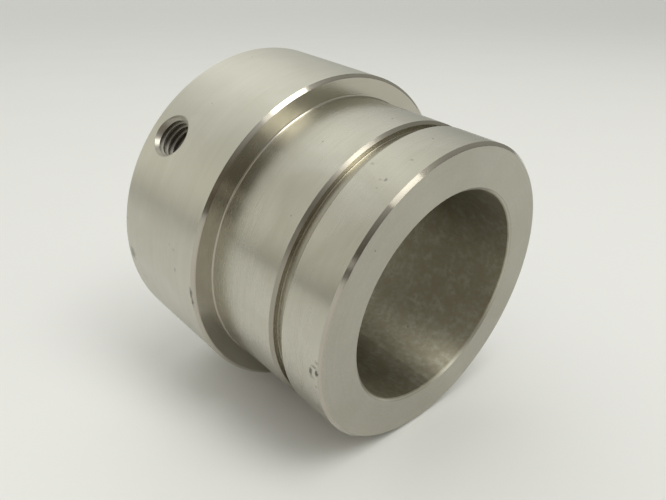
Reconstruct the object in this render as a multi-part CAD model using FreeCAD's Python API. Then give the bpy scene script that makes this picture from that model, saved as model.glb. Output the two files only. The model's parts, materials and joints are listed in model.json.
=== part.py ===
"""Shouldered sleeve coupling: one turned sleeve, and the grub screw that clamps it to a shaft.

Millimetres. +X runs along the bore from the collar to the nose, and +Z is up as the sleeve lies on
its collar. The origin is on the bore's axis, halfway along the sleeve.
"""
import FreeCAD, Part

import math
import os

# Sleeve: turned diameters and lengths
BORE_DIAMETER = 50.0
NOSE_DIAMETER = 70.0
COLLAR_DIAMETER = 80.0
NOSE_LENGTH = 35.0
COLLAR_LENGTH = 30.0
EDGE_CHAMFER = 0.75
BORE_CHAMFER = 0.65
SHOULDER_FILLET = 0.4

# Ring groove round the nose
GROOVE_FROM_FRONT = 11.85
GROOVE_WIDTH = 2.8
GROOVE_DEPTH = 1.75
GROOVE_EDGE_CHAMFER = 0.65
GROOVE_FILLET = 0.2

# Tapped hole through the collar's wall, M10 coarse; the lead-in sets how far round its thread is turned
HOLE_FROM_REAR = 8.2
HOLE_ANGLE = 45.0
THREAD_DIAMETER = 10.0
THREAD_PITCH = 1.5
THREAD_LEAD_IN = 0.75
MOUTH_COUNTERSINK_DIAMETER = 10.4
BORE_COUNTERSINK_DIAMETER = 10.4

# Grub screw: M10 x 8, hexagon socket, cup point
SCREW_LENGTH = 8.0
SCREW_THREAD_ALLOWANCE = 0.1
SCREW_TIP_RECESS = 0.25
SCREW_TOP_CHAMFER = 0.9
CREST_CLEARANCE = 0.01
POINT_DIAMETER = 6.0
CUP_DIAMETER = 5.4
SOCKET_ACROSS_FLATS = 5.0
SOCKET_DEPTH = 3.5
SOCKET_MOUTH_DIAMETER = 6.1

# Metric thread form: flanks at 30 degrees to the thread's radius, cut to five eighths of a sharp vee
FLANK = math.tan(math.radians(30.0))
SHARP_VEE_DEPTH = math.cos(math.radians(30.0)) * THREAD_PITCH
THREAD_DEPTH = SHARP_VEE_DEPTH * 5.0 / 8.0
CREST_FLAT = THREAD_PITCH / 8.0

# How far a cutting shape runs past the surfaces that it opens
OVERRUN = 1.0
OVERRUN_TURNS = 2

BORE_RADIUS = BORE_DIAMETER / 2.0
NOSE_RADIUS = NOSE_DIAMETER / 2.0
COLLAR_RADIUS = COLLAR_DIAMETER / 2.0
FRONT = (NOSE_LENGTH + COLLAR_LENGTH) / 2.0
REAR = -FRONT
SHOULDER = REAR + COLLAR_LENGTH
HOLE_X = REAR + HOLE_FROM_REAR
THREAD_START = BORE_RADIUS + THREAD_LEAD_IN - OVERRUN_TURNS * THREAD_PITCH

X_AXIS = FreeCAD.Vector(1, 0, 0)
Z_AXIS = FreeCAD.Vector(0, 0, 1)
ORIGIN = FreeCAD.Vector(0, 0, 0)


def section_point(x, radius):
    """A point of the sleeve's half section, drawn below the axis so that the seam lies underneath."""
    return FreeCAD.Vector(x, 0, -radius)


def inside_corner(x, radius, fillet, x_side):
    """The round in an inside corner at (x, radius): its two ends and the point halfway along it.

    x_side is +1 where the round is on the +X side of the wall, and -1 where it is on the -X side.
    """
    on_wall = section_point(x, radius + fillet)
    on_floor = section_point(x + x_side * fillet, radius)
    inset = fillet * (1.0 - math.sqrt(0.5))
    halfway = section_point(x + x_side * inset, radius + inset)
    return on_wall, halfway, on_floor


def wire_from(runs):
    """A closed wire of straight runs, where a run of three points is an arc through them."""
    edges = []
    last = runs[-1][-1]
    for run in runs:
        edges.append(Part.LineSegment(last, run[0]).toShape())
        if len(run) == 3:
            edges.append(Part.Arc(*run).toShape())
        last = run[-1]
    return Part.Wire(edges)


def sleeve_blank():
    """The turned sleeve before its hole is tapped: the half section revolved about the bore."""
    groove_front = FRONT - GROOVE_FROM_FRONT
    groove_rear = groove_front - GROOVE_WIDTH
    groove_radius = NOSE_RADIUS - GROOVE_DEPTH
    rear_round = inside_corner(groove_rear, groove_radius, GROOVE_FILLET, 1)
    front_round = inside_corner(groove_front, groove_radius, GROOVE_FILLET, -1)
    runs = [
        [section_point(REAR, BORE_RADIUS + BORE_CHAMFER)],
        [section_point(REAR, COLLAR_RADIUS - EDGE_CHAMFER)],
        [section_point(REAR + EDGE_CHAMFER, COLLAR_RADIUS)],
        [section_point(SHOULDER - EDGE_CHAMFER, COLLAR_RADIUS)],
        [section_point(SHOULDER, COLLAR_RADIUS - EDGE_CHAMFER)],
        inside_corner(SHOULDER, NOSE_RADIUS, SHOULDER_FILLET, 1),
        [section_point(groove_rear - GROOVE_EDGE_CHAMFER, NOSE_RADIUS)],
        [section_point(groove_rear, NOSE_RADIUS - GROOVE_EDGE_CHAMFER)],
        rear_round,
        front_round[::-1],
        [section_point(groove_front, NOSE_RADIUS - GROOVE_EDGE_CHAMFER)],
        [section_point(groove_front + GROOVE_EDGE_CHAMFER, NOSE_RADIUS)],
        [section_point(FRONT - EDGE_CHAMFER, NOSE_RADIUS)],
        [section_point(FRONT, NOSE_RADIUS - EDGE_CHAMFER)],
        [section_point(FRONT, BORE_RADIUS + BORE_CHAMFER)],
        [section_point(FRONT - BORE_CHAMFER, BORE_RADIUS)],
        [section_point(REAR + BORE_CHAMFER, BORE_RADIUS)],
    ]
    return Part.Face(wire_from(runs)).revolve(ORIGIN, X_AXIS, 360)


# The hole and the screw are built with their own +Z out through the hole and z = 0 on the bore's axis,
# then turned and moved into place together.


def place_in_hole(shape):
    """Turns a shape from the hole's own direction to where the hole is in the collar."""
    placed = shape.copy()
    placed.rotate(ORIGIN, X_AXIS, HOLE_ANGLE)
    placed.translate(FreeCAD.Vector(HOLE_X, 0, 0))
    return placed


def helix_turn(radius, z):
    """One right-hand turn of a helix that leaves the +X side at height z."""
    turn = Part.makeHelix(THREAD_PITCH, THREAD_PITCH, radius)
    turn.translate(FreeCAD.Vector(0, 0, z))
    return turn.Edges[0]


def threaded_rod(crest_radius, z_start, turns):
    """A right-hand threaded rod whose crest crosses the +X side at z_start and every pitch above it.

    Each turn is four ruled strips: flank, crest, flank and root. A half plane and a helicoid from the
    root to the axis close each end.
    """
    root_radius = crest_radius - THREAD_DEPTH
    half_crest = CREST_FLAT / 2.0
    half_root = half_crest + THREAD_DEPTH * FLANK
    profile = [
        (root_radius, -half_root),
        (crest_radius, -half_crest),
        (crest_radius, half_crest),
        (root_radius, half_root),
        (root_radius, THREAD_PITCH - half_root),
    ]
    faces = []
    for turn in range(turns):
        z = z_start + turn * THREAD_PITCH
        rails = [helix_turn(radius, z + rise) for radius, rise in profile]
        for lower, upper in zip(rails, rails[1:]):
            faces.append(Part.makeRuledSurface(lower, upper))
    for turn in (0, turns):
        z = z_start + turn * THREAD_PITCH
        axis_bottom = FreeCAD.Vector(0, 0, z - half_root)
        axis_top = axis_bottom + Z_AXIS * THREAD_PITCH
        half_plane = [axis_bottom]
        for radius, rise in profile:
            half_plane.append(FreeCAD.Vector(radius, 0, z + rise))
        half_plane += [axis_top, axis_bottom]
        faces.append(Part.Face(Part.makePolygon(half_plane)))
        axis_edge = Part.LineSegment(axis_bottom, axis_top).toShape()
        faces.append(Part.makeRuledSurface(helix_turn(root_radius, axis_bottom.z), axis_edge))
    shell = Part.makeShell(faces)
    shell.sewShape()
    rod = Part.Solid(shell)
    if rod.Volume < 0:
        rod.reverse()
    return rod


def hole_tool():
    """What the drill, the tap and the two countersinks take out of the collar's wall."""
    wall = COLLAR_RADIUS - BORE_RADIUS
    turns = math.ceil(wall / THREAD_PITCH) + 2 * OVERRUN_TURNS
    tap = threaded_rod(THREAD_DIAMETER / 2.0, THREAD_START, turns)
    mouth_radius = MOUTH_COUNTERSINK_DIAMETER / 2.0
    mouth_height = mouth_radius + OVERRUN
    mouth = Part.makeCone(
        0, mouth_height, mouth_height, FreeCAD.Vector(0, 0, COLLAR_RADIUS - mouth_radius)
    )
    bore_side_radius = BORE_COUNTERSINK_DIAMETER / 2.0
    bore_side_z = math.sqrt(BORE_RADIUS ** 2 - bore_side_radius ** 2)
    bore_side = Part.makeCone(
        bore_side_radius, 0, bore_side_radius, FreeCAD.Vector(0, 0, bore_side_z)
    )
    return tap.fuse([mouth, bore_side])


def hexagon_socket(top):
    """The hexagon socket, with a bevelled mouth and the drill's cone at its bottom."""
    corner_radius = SOCKET_ACROSS_FLATS / math.sqrt(3.0)
    bottom = top - SOCKET_DEPTH
    corners = []
    for index in range(6):
        angle = math.radians(60.0 * index)
        corner = FreeCAD.Vector(corner_radius * math.cos(angle), corner_radius * math.sin(angle), bottom)
        corners.append(corner)
    hexagon = Part.Face(Part.makePolygon(corners + corners[:1]))
    prism = hexagon.extrude(Z_AXIS * (SOCKET_DEPTH + OVERRUN))
    mouth_radius = SOCKET_MOUTH_DIAMETER / 2.0
    mouth = Part.makeCone(0, mouth_radius, mouth_radius, FreeCAD.Vector(0, 0, top - mouth_radius))
    drill_radius = SOCKET_ACROSS_FLATS / 2.0
    drill_cone_height = drill_radius * FLANK
    drill_cone = Part.makeCone(
        0, drill_radius, drill_cone_height, FreeCAD.Vector(0, 0, bottom - drill_cone_height)
    )
    return prism.fuse([mouth, drill_cone])


def set_screw():
    """The grub screw, its ridge in step with the thread of the hole.

    A threaded rod is trimmed to the screw's outline, which has the point's bevel and the top's bevel and
    clears the thread's crests between them.
    """
    crest_radius = THREAD_DIAMETER / 2.0 - SCREW_THREAD_ALLOWANCE
    tip = BORE_RADIUS + SCREW_TIP_RECESS
    top = tip + SCREW_LENGTH
    turns_up_to_rod = math.floor((tip - THREAD_START) / THREAD_PITCH) - OVERRUN_TURNS
    rod_start = THREAD_START + turns_up_to_rod * THREAD_PITCH
    turns = math.ceil(SCREW_LENGTH / THREAD_PITCH) + 2 * OVERRUN_TURNS
    rod = threaded_rod(crest_radius, rod_start, turns)

    point_radius = POINT_DIAMETER / 2.0
    envelope_radius = crest_radius + CREST_CLEARANCE
    half_section = [
        FreeCAD.Vector(0, 0, tip),
        FreeCAD.Vector(point_radius, 0, tip),
        FreeCAD.Vector(envelope_radius, 0, tip + envelope_radius - point_radius),
        FreeCAD.Vector(envelope_radius, 0, top - SCREW_TOP_CHAMFER),
        FreeCAD.Vector(envelope_radius - SCREW_TOP_CHAMFER, 0, top),
        FreeCAD.Vector(0, 0, top),
    ]
    outline = Part.Face(Part.makePolygon(half_section + half_section[:1]))
    envelope = outline.revolve(ORIGIN, Z_AXIS, 360)
    cup_radius = CUP_DIAMETER / 2.0
    cup = Part.makeCone(cup_radius, 0, cup_radius * FLANK, FreeCAD.Vector(0, 0, tip))
    return rod.common(envelope).cut(cup).cut(hexagon_socket(top))


def main():
    nodes = {
        "sleeve": sleeve_blank().cut(place_in_hole(hole_tool())),
        "set_screw": place_in_hole(set_screw()),
    }
    os.makedirs("parts", exist_ok=True)
    for name, shape in nodes.items():
        solids = shape.Solids
        if len(solids) != 1 or not solids[0].isValid():
            raise ValueError(f"{name} is {len(solids)} solids, valid: {shape.isValid()}")
        solids[0].exportStep(f"parts/{name}.step")
        box = shape.BoundBox
        extents = f"{box.XLength:.2f} x {box.YLength:.2f} x {box.ZLength:.2f} mm"
        print(f"{name}: {solids[0].Volume:.1f} mm3, {extents}")
    return nodes


NODES = main()
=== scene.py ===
"""Looks of the shouldered sleeve coupling: materials for the two CAD nodes, floor, soft light and camera.

Metres, in the CAD's frame: +X along the bore from the collar to the nose, +Z up, origin on the bore's axis.
The floor is tilted in that frame, because the sleeve lies tipped onto its nose. Materials work in
millimetres, on the object's own coordinates.
"""

import json
import math

import bpy
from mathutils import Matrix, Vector


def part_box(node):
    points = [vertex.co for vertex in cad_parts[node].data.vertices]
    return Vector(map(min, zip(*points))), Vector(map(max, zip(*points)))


MM = 0.001

# Camera: azimuth 0 looks along +Y and 90 along -X; elevation is above the frame's level plane, not the
# floor. Lens and sensor are in mm. Clip is the nearest and the furthest that it sees, in metres
CAMERA_AZIMUTH = 47.416
CAMERA_ELEVATION = 33.641
CAMERA_DISTANCE = 0.15106
CAMERA_AIM = Vector((0.00012, -0.00197, -0.00214))
CAMERA_LENS = 32.807
CAMERA_SENSOR = 36.0
CAMERA_CLIP = (0.005, 100.0)

# Studio dome: an even glow plus broad soft patches. Each patch has a bearing from +X towards +Y and an
# elevation in degrees, a tightness and a colour
DOME_GLOW = (0.223, 0.223, 0.20)
DOME_PATCHES = [
    (10.0, 82.0, 10.0, (0.45, 0.458, 0.52)),  # overhead
    (17.0, 55.0, 17.0, (0.50, 0.508, 0.49)),  # high beyond the nose
    (42.0, 1.0, 5.5, (0.34, 0.345, 0.30)),  # low beyond the nose
    (160.0, 32.0, 3.6, (0.90, 0.914, 0.87)),  # behind the collar
    (210.0, 10.0, 21.0, (0.62, 0.61, 0.55)),  # low behind the collar
    (272.0, 39.0, 7.0, (0.61, 0.58, 0.51)),  # left of the camera
    (-50.0, 28.0, 12.0, (-0.25, -0.264, -0.26)),  # unlit side, behind the camera
]

# Softboxes: bearing and elevation in degrees, width and height in metres, and watts, all at one distance
SOFTBOX_DISTANCE = 1.5
SOFTBOX_COLOUR = (0.997, 1.0, 0.95)
SOFTBOXES = [
    ("key", 12.0, 49.0, 0.60, 0.40, 1.25),
    ("overhead_strip", 24.0, 69.0, 0.60, 0.96, 8.6),
    ("small_fill", -37.0, 21.0, 0.18, 0.18, 0.125),
]

# Nicks on the sleeve: x from the middle in mm, degrees round the bore from +Z towards +Y, half lengths
# along the bore and round it in mm, and how dark they are
COLLAR_NICKS = [
    (-3.5, -87.2, 0.45, 2.2, 0.85),
    (-3.3, -90.4, 0.35, 1.8, 0.85),
    (-30.2, -90.8, 1.4, 2.3, 0.55),
    (-9.6, -83.0, 0.50, 0.60, 0.45),
    (-12.2, -75.5, 0.35, 0.60, 0.25),
    (-10.4, -76.5, 0.50, 0.35, 0.25),
    (-26.8, -99.0, 1.8, 0.30, 0.25),
]
NOSE_NICKS = [
    (31.5, -88.7, 0.45, 0.90, 0.95),
    (29.9, -89.4, 0.60, 1.1, 0.85),
    (30.5, -86.9, 1.0, 0.45, 0.55),
    (31.4, -84.6, 0.6, 0.45, 0.40),
    (30.3, -91.6, 1.2, 0.45, 0.30),
    (31.2, -95.0, 0.5, 0.40, 0.35),
    (22.4, -21.1, 0.50, 0.50, 0.25),
    (26.6, -25.1, 0.55, 0.45, 0.20),
    (27.5, -24.2, 0.45, 0.45, 0.50),
    (28.1, -13.5, 0.45, 0.40, 0.30),
    (27.3, -28.0, 0.35, 0.35, 0.20),
]

# The sleeve has tipped onto its nose: the floor touches the rims of the collar and of the nose. The
# sleeve's upper side is this many degrees round the bore from +Z towards +Y
FLOOR_ROLL = 7.52
# The floor: a disc wide enough to pass for a whole table, its colour and how much darker it gets in
# places, its least and greatest roughness, and the height of its grain in mm
FLOOR_RADIUS = 40.0
FLOOR_SIDES = 96
FLOOR_COLOUR = (0.79, 0.79, 0.78)
FLOOR_DARKENING = 0.975
FLOOR_ROUGHNESS = (0.55, 0.7)
FLOOR_GRAIN_HEIGHT = 0.02

# Bevels of the sleeve's outer edges and of its groove's edges, in mm, as in the CAD
OUTER_BEVEL = 0.75
GROOVE_BEVEL = 0.65

# Noises: scale per mm (per metre on the floor), detail, and where they differ from the usual, the noise's
# own roughness and distortion
CLOUDS = (0.075, 3.0, 0.55, 0.6)
BORE_PATCHES = (0.28, 4.0, 0.6, 0.3)
BORE_MOTTLE = (0.8, 3.0, 0.6)
END_GRAIN = (2.2, 3.0, 0.7)
SPECK_SIZES = (0.35, 1.0)
NICK_OUTLINES = (1.1, 3.0)
SCREW_CLOUDS = (0.5, 4.0, 0.6)
SCREW_DRAWN = (1.2, 3.0)
FLOOR_CLOUDS = (9.0, 3.0)
FLOOR_GRAIN = (700.0, 2.0)

# The values between which a noise turns from one colour to another
NOISE_SPAN = (0.3, 0.7)
MOTTLE_SPAN = (0.30, 0.76)

# Turning marks: how many per mm, how much they wave round the bore, and their detail. The profile's
# coordinate is x plus the radius times its weight, so it changes on flat faces as well as on round ones
FINE_RINGS = (2.0, 2.5, 1.0)
BROAD_RINGS = (0.7, 1.2, 2.0)
RING_NOISE_ROUGHNESS = 0.6
RADIUS_WEIGHT = 1.7

# How each zone of the sleeve fades in: where it is 0 and where it is 1, in mm past an edge
FADES = {
    "bore": (0.35, 0.1),  # out from the bore's surface
    "outside": (3.0, 4.0),  # out from the bore's surface
    "groove_sides": (0.2, 0.0),  # away from the groove's side walls
    "groove_top": (-0.3, -0.8),  # out from the nose's surface
    "groove_edges": (0.3, 0.0),  # away from the groove's bevels
    "hole": (0.4, 0.1),  # out from the thread
    "collar": (0.3, -0.3),  # from the shoulder towards the nose
    "shoulder": (0.3, 0.1),  # away from the shoulder
    "ends": (0.4, 0.1),  # in from the end faces
}
# The lean of a surface's normal along the bore is 0 on round surfaces and 1 on flat ones. Bevels lie
# between: they fade in over the first pair of leans and out over the second
ROUND_TO_BEVEL = (0.2, 0.4)
FLAT_TO_BEVEL = (0.98, 0.9)

# Colours of the sleeve's steel, and how strongly the weaker ones are mixed in
STEEL_DULL = (0.520, 0.500, 0.425)
STEEL_BRIGHT = (0.585, 0.567, 0.497)
COLLAR_COLOUR = (0.70, 0.69, 0.62)
COLLAR_STRENGTH = 0.2
FINE_RING_COLOUR = (0.30, 0.28, 0.23)
FINE_RING_STRENGTH = 0.16
BROAD_RING_COLOUR = (0.36, 0.34, 0.28)
BROAD_RING_STRENGTH = 0.12
BORE_DULL = (0.325, 0.295, 0.22)
BORE_BRIGHT = (0.43, 0.41, 0.335)
BORE_MOTTLE_COLOUR = (0.31, 0.285, 0.21)
END_COLOUR = (0.36, 0.35, 0.30)
END_STRENGTH = (0.1, 0.7)
SPECK_COLOUR = (0.09, 0.085, 0.07)
SPECK_STRENGTH = 0.7
NICK_COLOUR = (0.10, 0.095, 0.075)

# Painted shade and darkening on zones of the sleeve, laid over each other in this order: strength and colour. On
# the shoulder and on all the bevels it is painted shade that darkens their reflections and dims their highlights,
# more so on the groove's bevels. In the groove and in the tapped hole the steel is only made darker and browner
PAINTED_SHADE_AND_DARKER_ZONES = [
    # painted shade: darkens the reflections and highlights of the shoulder and the bevels
    ("shoulder", 0.3, (0.33, 0.285, 0.235)),
    ("bevels", 0.4, (0.36, 0.31, 0.27)),
    ("groove_edges", 0.5, (0.27, 0.25, 0.21)),
    # darker and browner in the groove and the tapped hole
    ("groove", 0.55, (0.34, 0.31, 0.24)),
    ("hole", 0.6, (0.30, 0.28, 0.24)),
]

# Roughness of the nose and of the other zones, each over the ones before it, and how uneven it is
NOSE_ROUGHNESS = 0.26
ROUGHNESS = [
    ("collar", 0.31),
    ("shoulder", 0.19),
    ("ends", 0.42),
    ("bevels", 0.15),
    ("groove_edges", 0.32),
    ("bore", 0.5),
    ("hole", 0.34),
]
CLOUD_ROUGHNESS = 0.05
RING_ROUGHNESS = 0.04

# Brushed look: how much the highlights stretch, and the quarter turn that lays them across the rings
BRUSHING = 0.75
BRUSHING_TURN = 0.25

# Specks: cells per mm, the largest radius as a part of a cell, and the part of the radius that is fully dark
SPECK_CELLS = 0.16
SPECK_LARGEST = 0.075
SPECK_CORE = 0.45

# Nicks: how ragged they are, and where they start and reach full depth, as parts of their half lengths
NICK_RAGGEDNESS = 0.9
NICK_RIM = (1.1, 0.2)

# Heights of the bump, in mm
RING_HEIGHT = 0.0002
SPECK_DEPTH = 0.03
NICK_DEPTH = 0.08
DRAWN_HEIGHT = 0.006

# The screw: its colours, where the darkening in its thread is 0 and 1 in mm past the crests, its least and
# greatest roughness, what its drawn lines add to that, and how many times as fast they change outwards as along it
SCREW_DULL = (0.36, 0.35, 0.32)
SCREW_BRIGHT = (0.50, 0.485, 0.44)
SCREW_THREAD_COLOUR = (0.16, 0.15, 0.13)
SCREW_THREAD_STRENGTH = 0.25
SCREW_THREAD_FADE = (-0.1, -0.9)
SCREW_ROUGHNESS = (0.22, 0.36)
DRAWN_ROUGHNESS = (-0.03, 0.05)
DRAWN_STRETCH = 3.0

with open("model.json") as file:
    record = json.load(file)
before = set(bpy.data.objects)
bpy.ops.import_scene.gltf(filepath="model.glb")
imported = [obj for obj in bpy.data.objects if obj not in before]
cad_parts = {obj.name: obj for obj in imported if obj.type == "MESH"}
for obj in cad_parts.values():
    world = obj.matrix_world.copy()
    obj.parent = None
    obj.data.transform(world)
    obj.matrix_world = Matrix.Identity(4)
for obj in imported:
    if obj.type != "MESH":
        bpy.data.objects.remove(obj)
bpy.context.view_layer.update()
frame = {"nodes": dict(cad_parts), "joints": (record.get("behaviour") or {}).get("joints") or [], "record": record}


def mount(name):
    """The record's mount of that name."""
    return next(m for m in frame["record"]["mounts"] if m["name"] == name)


def lengths_in_mm():
    """The sleeve's sizes that the materials need, read from the frame."""
    low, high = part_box("sleeve")
    screw_low, screw_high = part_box("set_screw")
    groove = mount("ring_groove")
    return {
        "bore_radius": mount("bore")["dims"]["r_mm"],
        "nose_radius": mount("nose_seat")["dims"]["r_mm"],
        "collar_radius": high.z / MM,
        "front": high.x / MM,
        "rear": low.x / MM,
        "shoulder": mount("shoulder_face")["pos_m"][0] / MM,
        "groove": groove["pos_m"][0] / MM,
        "groove_width": groove["dims"]["length_mm"],
        "hole": (screw_low.x + screw_high.x) / 2.0 / MM,
        "thread_radius": (screw_high.x - screw_low.x) / 2.0 / MM,
    }


SIZES = lengths_in_mm()
HOLE_AXIS = Vector(frame["joints"][0]["axis"])

# The Mix node's sockets for each kind of value: its two inputs and its output
MIX_SOCKETS = {"RGBA": (6, 7, 2), "FLOAT": (2, 3, 0)}


class Graph:
    """Short ways to add shader nodes to a node tree. Values may be numbers, colours or nodes' sockets."""

    def __init__(self, tree):
        self.tree = tree
        self.tree.nodes.clear()

    def feed(self, socket, value):
        if isinstance(value, bpy.types.NodeSocket):
            self.tree.links.new(value, socket)
        elif hasattr(socket.default_value, "__len__") and len(value) < len(socket.default_value):
            socket.default_value = (*value, 1.0)
        else:
            socket.default_value = value

    def node(self, kind, inputs=(), **settings):
        made = self.tree.nodes.new(kind)
        for name, value in settings.items():
            setattr(made, name, value)
        for name, value in dict(inputs).items():
            self.feed(made.inputs[name], value)
        return made

    def math(self, operation, *values):
        made = self.node("ShaderNodeMath", operation=operation)
        for socket, value in zip(made.inputs, values):
            self.feed(socket, value)
        return made.outputs[0]

    def vector(self, operation, *values, output="Vector"):
        made = self.node("ShaderNodeVectorMath", operation=operation)
        for socket, value in zip(made.inputs, values):
            self.feed(socket, value)
        return made.outputs[output]

    def scaled(self, vector, scale):
        made = self.node("ShaderNodeVectorMath", operation="SCALE")
        self.feed(made.inputs[0], vector)
        self.feed(made.inputs["Scale"], scale)
        return made.outputs["Vector"]

    def split(self, vector):
        return self.node("ShaderNodeSeparateXYZ", {"Vector": vector}).outputs

    def join(self, x, y, z):
        return self.node("ShaderNodeCombineXYZ", {"X": x, "Y": y, "Z": z}).outputs[0]

    def step(self, value, start, end):
        """0 up to start and 1 from end, smooth between them; start may be the larger."""
        inputs = {"Value": value, "From Min": start, "From Max": end}
        made = self.node("ShaderNodeMapRange", inputs, interpolation_type="SMOOTHSTEP")
        return made.outputs[0]

    def spread(self, value, low, high):
        """A 0 to 1 value spread between low and high."""
        inputs = {"Value": value, "To Min": low, "To Max": high}
        return self.node("ShaderNodeMapRange", inputs).outputs[0]

    def noise(self, vector, scale, detail, roughness=0.5, distortion=0.0):
        inputs = {
            "Vector": vector,
            "Scale": scale,
            "Detail": detail,
            "Roughness": roughness,
            "Distortion": distortion,
        }
        return self.node("ShaderNodeTexNoise", inputs).outputs[0]

    def cells(self, vector, scale):
        """Distance from the nearest of the points scattered one to a cell."""
        return self.node("ShaderNodeTexVoronoi", {"Vector": vector, "Scale": scale}).outputs["Distance"]

    def mixed(self, kind, factor, first, second):
        made = self.node("ShaderNodeMix", data_type=kind)
        first_input, second_input, output = MIX_SOCKETS[kind]
        self.feed(made.inputs["Factor"], factor)
        self.feed(made.inputs[first_input], first)
        self.feed(made.inputs[second_input], second)
        return made.outputs[output]

    def mix(self, factor, first, second):
        """The first colour at factor 0, the second at 1."""
        return self.mixed("RGBA", factor, first, second)

    def blend(self, factor, first, second):
        """The first number at factor 0, the second at 1."""
        return self.mixed("FLOAT", factor, first, second)

    def product(self, *values):
        """All the values multiplied."""
        result, *others = values
        for other in others:
            result = self.math("MULTIPLY", result, other)
        return result

    def surface(self, inputs):
        """The material's shader, with these inputs."""
        shader = self.node("ShaderNodeBsdfPrincipled", inputs)
        self.node("ShaderNodeOutputMaterial", {"Surface": shader.outputs[0]})

    def bump(self, height, distance):
        """A normal tilted by a height, in units of the distance in metres."""
        inputs = {"Height": height, "Distance": distance, "Strength": 1.0}
        return self.node("ShaderNodeBump", inputs).outputs["Normal"]


def new_material(name):
    """An empty node material and its graph."""
    material = bpy.data.materials.new(name)
    material.use_nodes = True
    return material, Graph(material.node_tree)


def turned_coordinates(g):
    """Millimetre coordinates on the turned part: the point, x, radius, the direction round the bore, and
    a coordinate that runs along the profile, so that what varies only with it makes rings."""
    point = g.scaled(g.node("ShaderNodeTexCoord").outputs["Object"], 1.0 / MM)
    x, y, z = g.split(point)
    across_bore = g.join(0.0, y, z)
    radius = g.vector("LENGTH", across_bore, output="Value")
    around = g.vector("NORMALIZE", across_bore)
    profile = g.math("MULTIPLY_ADD", radius, RADIUS_WEIGHT, x)
    return point, x, radius, around, profile


def rings(g, profile, around, per_mm, waviness, detail):
    """Rings left by the tool: noise that changes quickly along the profile and slowly round the bore."""
    round_part = g.scaled(around, waviness)
    along = g.join(g.math("MULTIPLY", profile, per_mm), 0.0, 0.0)
    return g.noise(g.vector("ADD", along, round_part), 1.0, detail, RING_NOISE_ROUGHNESS)


def nick(g, point, ragged, radius, x, angle, half_along, half_round, strength):
    """How much a small ragged dent on the turned surface marks a point; its middle is in mm and degrees."""
    turned = math.radians(angle)
    middle = (x, radius * math.sin(turned), radius * math.cos(turned))
    reach = (1.0 / half_along, 1.0 / half_round, 1.0 / half_round)
    offset = g.vector("MULTIPLY", g.vector("SUBTRACT", point, middle), reach)
    distance = g.math("ADD", g.vector("LENGTH", offset, output="Value"), ragged)
    return g.math("MULTIPLY", g.step(distance, *NICK_RIM), strength)


def all_nicks(g, point):
    """How much the deepest of the nicks marks a point."""
    ragged = g.spread(g.noise(point, *NICK_OUTLINES), -NICK_RAGGEDNESS, NICK_RAGGEDNESS)
    nicks = 0.0
    for nicks_there, surface in ((COLLAR_NICKS, "collar_radius"), (NOSE_NICKS, "nose_radius")):
        for place in nicks_there:
            nicks = g.math("MAXIMUM", nicks, nick(g, point, ragged, SIZES[surface], *place))
    return nicks


def all_specks(g, point):
    """Small dark pits, thinly scattered."""
    size = g.spread(g.noise(point, *SPECK_SIZES), 0.0, SPECK_LARGEST)
    return g.step(g.cells(point, SPECK_CELLS), size, g.math("MULTIPLY", size, SPECK_CORE))


def hole_coordinates(g, point):
    """Millimetres from the tapped hole's axis, and along it from the bore's axis."""
    offset = g.vector("SUBTRACT", point, (SIZES["hole"], 0.0, 0.0))
    along = g.vector("DOT_PRODUCT", offset, HOLE_AXIS, output="Value")
    on_axis = g.scaled(HOLE_AXIS, along)
    return g.vector("LENGTH", g.vector("SUBTRACT", offset, on_axis), output="Value"), along


def fade(g, value, edge, zone):
    """0 to 1 over the zone's two distances past an edge."""
    none, full = FADES[zone]
    return g.step(value, edge + none, edge + full)


def sleeve_zones(g, point, x, radius):
    """The zones of the sleeve, each 1 where it is and 0 elsewhere."""
    lean = g.math("ABSOLUTE", g.split(g.node("ShaderNodeNewGeometry").outputs["Normal"])[0])
    from_groove = g.math("ABSOLUTE", g.math("SUBTRACT", x, SIZES["groove"]))
    from_shoulder = g.math("ABSOLUTE", g.math("SUBTRACT", x, SIZES["shoulder"]))
    from_hole, along_hole = hole_coordinates(g, point)
    half_groove = SIZES["groove_width"] / 2.0
    end_none, end_full = FADES["ends"]

    outside = fade(g, radius, SIZES["bore_radius"], "outside")
    beside_groove = fade(g, from_groove, half_groove, "groove_sides")
    under_nose = fade(g, radius, SIZES["nose_radius"], "groove_top")
    near_groove = fade(g, from_groove, half_groove + GROOVE_BEVEL, "groove_edges")
    near_hole = fade(g, from_hole, SIZES["thread_radius"], "hole")
    on_bevels = g.product(g.step(lean, *ROUND_TO_BEVEL), g.step(lean, *FLAT_TO_BEVEL), outside)
    return {
        "bore": fade(g, radius, SIZES["bore_radius"], "bore"),
        "groove": g.product(beside_groove, under_nose, outside),
        "groove_edges": g.product(on_bevels, near_groove),
        "hole": g.product(near_hole, g.step(along_hole, 0.0, SIZES["bore_radius"])),
        "collar": fade(g, x, SIZES["shoulder"], "collar"),
        "shoulder": g.product(fade(g, from_shoulder, 0.0, "shoulder"), outside),
        "bevels": on_bevels,
        "ends": g.math(
            "MAXIMUM",
            g.step(x, SIZES["front"] - end_none, SIZES["front"] - end_full),
            g.step(x, SIZES["rear"] + end_none, SIZES["rear"] + end_full),
        ),
    }


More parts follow.
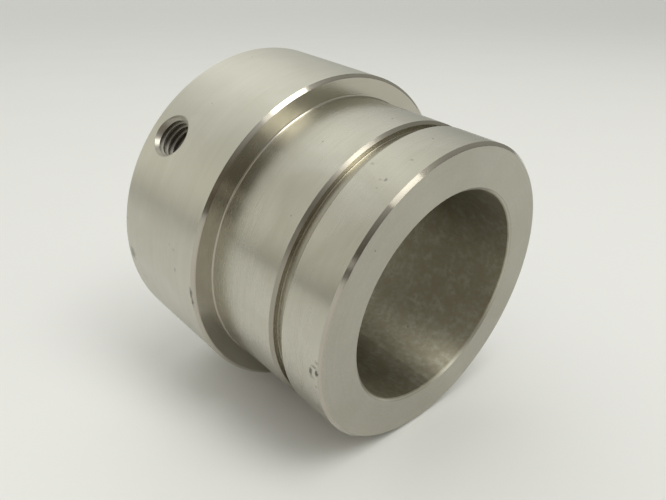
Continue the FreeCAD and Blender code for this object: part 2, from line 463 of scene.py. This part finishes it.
def sleeve_colour(g, point, zones, clouds, fine_rings, broad_rings):
    """Warm grey, a little uneven, olive brown in the bore, with painted shade on the shoulder and the bevels, and
    darker and browner in the groove and the tapped hole.
    """
    steel = g.mix(g.step(clouds, *NOISE_SPAN), STEEL_DULL, STEEL_BRIGHT)
    steel = g.mix(g.product(zones["collar"], COLLAR_STRENGTH), steel, COLLAR_COLOUR)
    steel = g.mix(g.spread(fine_rings, 0.0, FINE_RING_STRENGTH), steel, FINE_RING_COLOUR)
    steel = g.mix(g.spread(broad_rings, 0.0, BROAD_RING_STRENGTH), steel, BROAD_RING_COLOUR)
    bore = g.mix(g.step(g.noise(point, *BORE_PATCHES), *NOISE_SPAN), BORE_DULL, BORE_BRIGHT)
    bore = g.mix(g.step(g.noise(point, *BORE_MOTTLE), *MOTTLE_SPAN), bore, BORE_MOTTLE_COLOUR)
    steel = g.mix(zones["bore"], steel, bore)
    end_grain = g.spread(g.noise(point, *END_GRAIN), *END_STRENGTH)
    steel = g.mix(g.product(zones["ends"], end_grain), steel, END_COLOUR)
    # Painted shade over the shoulder and the bevels, dimming their reflections and highlights; the groove and the
    # tapped hole are made darker and browner
    for zone, strength, colour in PAINTED_SHADE_AND_DARKER_ZONES:
        steel = g.mix(g.product(zones[zone], strength), steel, colour)
    return steel


def sleeve_roughness(g, zones, clouds, fine_rings):
    """Roughness by zone, a little uneven with the clouds and the rings."""
    roughness = NOSE_ROUGHNESS
    for zone, value in ROUGHNESS:
        roughness = g.blend(zones[zone], roughness, value)
    with_clouds = g.spread(clouds, -CLOUD_ROUGHNESS, CLOUD_ROUGHNESS)
    with_rings = g.spread(fine_rings, -RING_ROUGHNESS, RING_ROUGHNESS)
    return g.math("ADD", roughness, g.math("ADD", with_clouds, with_rings))


def stainless_material():
    """Satin turned stainless steel: ring marks, cloudy patches, specks and nicks, and a dull dark bore."""
    material, g = new_material("turned_stainless_looks")
    point, x, radius, around, profile = turned_coordinates(g)
    zones = sleeve_zones(g, point, x, radius)
    fine_rings = rings(g, profile, around, *FINE_RINGS)
    broad_rings = rings(g, profile, around, *BROAD_RINGS)
    clouds = g.noise(point, *CLOUDS)
    specks = all_specks(g, point)
    nicks = all_nicks(g, point)

    steel = sleeve_colour(g, point, zones, clouds, fine_rings, broad_rings)
    steel = g.mix(g.product(specks, SPECK_STRENGTH), steel, SPECK_COLOUR)
    steel = g.mix(nicks, steel, NICK_COLOUR)

    height = g.math("ADD", g.spread(fine_rings, 0.0, RING_HEIGHT), g.spread(specks, 0.0, -SPECK_DEPTH))
    height = g.math("ADD", height, g.spread(nicks, 0.0, -NICK_DEPTH))
    g.surface({
        "Base Color": steel,
        "Metallic": 1.0,
        "Roughness": sleeve_roughness(g, zones, clouds, fine_rings),
        "Anisotropic": BRUSHING,
        "Anisotropic Rotation": BRUSHING_TURN,
        "Tangent": g.node("ShaderNodeTangent", direction_type="RADIAL", axis="X").outputs[0],
        "Normal": g.bump(height, MM),
    })
    return material


def screw_material():
    """Cold-formed stainless screw: darker in its thread, with faint lines along its length."""
    material, g = new_material("screw_steel_looks")
    point = g.scaled(g.node("ShaderNodeTexCoord").outputs["Object"], 1.0 / MM)
    from_axis, along = hole_coordinates(g, point)
    clouds = g.noise(point, *SCREW_CLOUDS)
    drawn = g.noise(g.join(g.math("MULTIPLY", from_axis, DRAWN_STRETCH), along, 0.0), *SCREW_DRAWN)
    thread_none, thread_full = SCREW_THREAD_FADE
    thread_radius = SIZES["thread_radius"]
    in_thread = g.step(from_axis, thread_radius + thread_none, thread_radius + thread_full)
    steel = g.mix(clouds, SCREW_DULL, SCREW_BRIGHT)
    steel = g.mix(g.product(in_thread, SCREW_THREAD_STRENGTH), steel, SCREW_THREAD_COLOUR)
    roughness = g.math("ADD", g.spread(clouds, *SCREW_ROUGHNESS), g.spread(drawn, *DRAWN_ROUGHNESS))
    g.surface({
        "Base Color": steel,
        "Metallic": 1.0,
        "Roughness": roughness,
        "Normal": g.bump(g.spread(drawn, 0.0, DRAWN_HEIGHT), MM),
    })
    return material


def floor_material():
    """Pale painted table top with a faint unevenness."""
    material, g = new_material("pale_floor")
    point = g.node("ShaderNodeTexCoord").outputs["Object"]
    clouds = g.noise(point, *FLOOR_CLOUDS)
    darker = [channel * FLOOR_DARKENING for channel in FLOOR_COLOUR]
    g.surface({
        "Base Color": g.mix(clouds, FLOOR_COLOUR, darker),
        "Roughness": g.spread(clouds, *FLOOR_ROUGHNESS),
        "Normal": g.bump(g.noise(point, *FLOOR_GRAIN), FLOOR_GRAIN_HEIGHT * MM),
    })
    return material


def assign(obj, material):
    """The material in every slot of a CAD node."""
    for slot in obj.material_slots:
        slot.material = material


def floor_plane():
    """A point of the floor and its normal, for the sleeve lying on the rims of its collar and its nose."""
    roll = math.radians(FLOOR_ROLL)
    from_floor = Vector((0.0, math.sin(roll), math.cos(roll)))
    rim_to_rim = Vector((SIZES["front"] - SIZES["shoulder"], 0.0, 0.0))
    rim_to_rim += from_floor * (SIZES["collar_radius"] - SIZES["nose_radius"])
    normal = rim_to_rim.cross(from_floor).cross(rim_to_rim).normalized()
    collar_rim = Vector((SIZES["shoulder"] - OUTER_BEVEL, 0.0, 0.0)) - from_floor * SIZES["collar_radius"]
    return collar_rim * MM, normal


def add_floor():
    """A wide round floor that the tipped sleeve lies on."""
    point, normal = floor_plane()
    bpy.ops.mesh.primitive_circle_add(
        vertices=FLOOR_SIDES,
        radius=FLOOR_RADIUS,
        fill_type="NGON",
        location=point,
        rotation=normal.to_track_quat("Z", "Y").to_euler(),
    )
    floor = bpy.context.object
    floor.name = "floor"
    floor.data.materials.append(floor_material())


def direction(bearing, elevation):
    """Unit vector at a bearing from +X towards +Y and an elevation above the level plane, in degrees."""
    b, e = math.radians(bearing), math.radians(elevation)
    return Vector((math.cos(b) * math.cos(e), math.sin(b) * math.cos(e), math.sin(e)))


def add_softbox(name, bearing, elevation, width, height, watts):
    """A rectangular light that faces the part."""
    light = bpy.data.lights.new(name, "AREA")
    light.shape = "RECTANGLE"
    light.size = width
    light.size_y = height
    light.energy = watts
    light.color = SOFTBOX_COLOUR
    lamp = bpy.data.objects.new(name, light)
    towards = direction(bearing, elevation)
    lamp.location = towards * SOFTBOX_DISTANCE
    lamp.rotation_euler = towards.to_track_quat("Z", "Y").to_euler()
    bpy.context.scene.collection.objects.link(lamp)


def add_dome():
    """The studio round the part: a dim glow with broad bright patches that melt into each other."""
    world = bpy.data.worlds.new("studio")
    world.use_nodes = True
    g = Graph(world.node_tree)
    towards = g.node("ShaderNodeTexCoord").outputs["Generated"]
    colour = DOME_GLOW
    for bearing, elevation, tightness, patch_colour in DOME_PATCHES:
        facing = g.vector("DOT_PRODUCT", towards, direction(bearing, elevation), output="Value")
        falloff = g.math("EXPONENT", g.math("MULTIPLY_ADD", facing, tightness, -tightness))
        colour = g.vector("ADD", colour, g.scaled(patch_colour, falloff))
    background = g.node("ShaderNodeBackground", {"Color": colour})
    g.node("ShaderNodeOutputWorld", {"Surface": background.outputs[0]})
    bpy.context.scene.world = world


def add_camera():
    """The camera at the photograph's viewing angle."""
    data = bpy.data.cameras.new("camera")
    data.lens = CAMERA_LENS
    data.sensor_width = CAMERA_SENSOR
    data.clip_start, data.clip_end = CAMERA_CLIP
    camera = bpy.data.objects.new("camera", data)
    # A camera at azimuth 0 stands at bearing -90
    back = direction(CAMERA_AZIMUTH - 90.0, CAMERA_ELEVATION)
    camera.location = CAMERA_AIM + back * CAMERA_DISTANCE
    camera.rotation_euler = back.to_track_quat("Z", "Y").to_euler()
    bpy.context.scene.collection.objects.link(camera)
    bpy.context.scene.camera = camera


assign(frame["nodes"]["sleeve"], stainless_material())
assign(frame["nodes"]["set_screw"], screw_material())
add_floor()
for softbox in SOFTBOXES:
    add_softbox(*softbox)
add_dome()
add_camera()
bpy.context.scene.view_settings.view_transform = "Standard"
